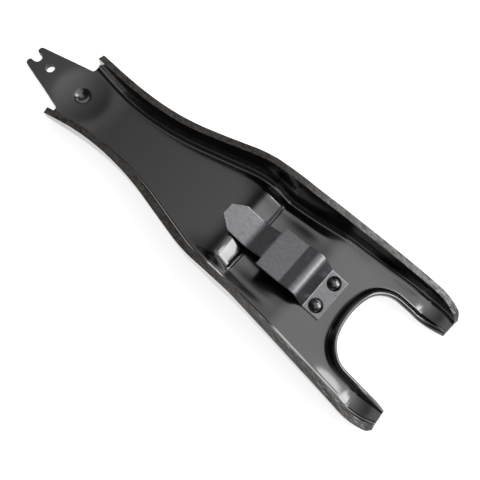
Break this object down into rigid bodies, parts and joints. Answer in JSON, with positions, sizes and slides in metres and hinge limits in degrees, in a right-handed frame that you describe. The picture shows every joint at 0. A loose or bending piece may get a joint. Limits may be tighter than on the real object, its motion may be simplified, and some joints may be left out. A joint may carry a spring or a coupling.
{
  "type": "clutch fork",
  "caption": "Pressed-steel clutch release lever: a flanged channel arm with a notched flat tip, a push-rod seat, a pivot crease with a riveted spring clip, and a forked bearing end.",
  "frame": {"origin": "centre of the overall box, on the surface the fork lies on", "axes": "+X from the notched narrow tip to the forked end, +Z out of the open side of the channel, +Y to the left seen from the tip"},
  "size_m": [0.2986, 0.0906, 0.0348],
  "materials": {
    "black_enamel": "gloss black enamel over pressed steel, thin on the sheared edges",
    "clip_steel": "dark satin spring steel, brighter at the tongue's tip",
    "rivet_enamel": "gloss black enamel on domed steel rivets"
  },
  "bodies": {
    "root": {"fork_lever": "black_enamel", "retaining_clip": "clip_steel", "rivets": "rivet_enamel"}
  },
  "joints": []
}
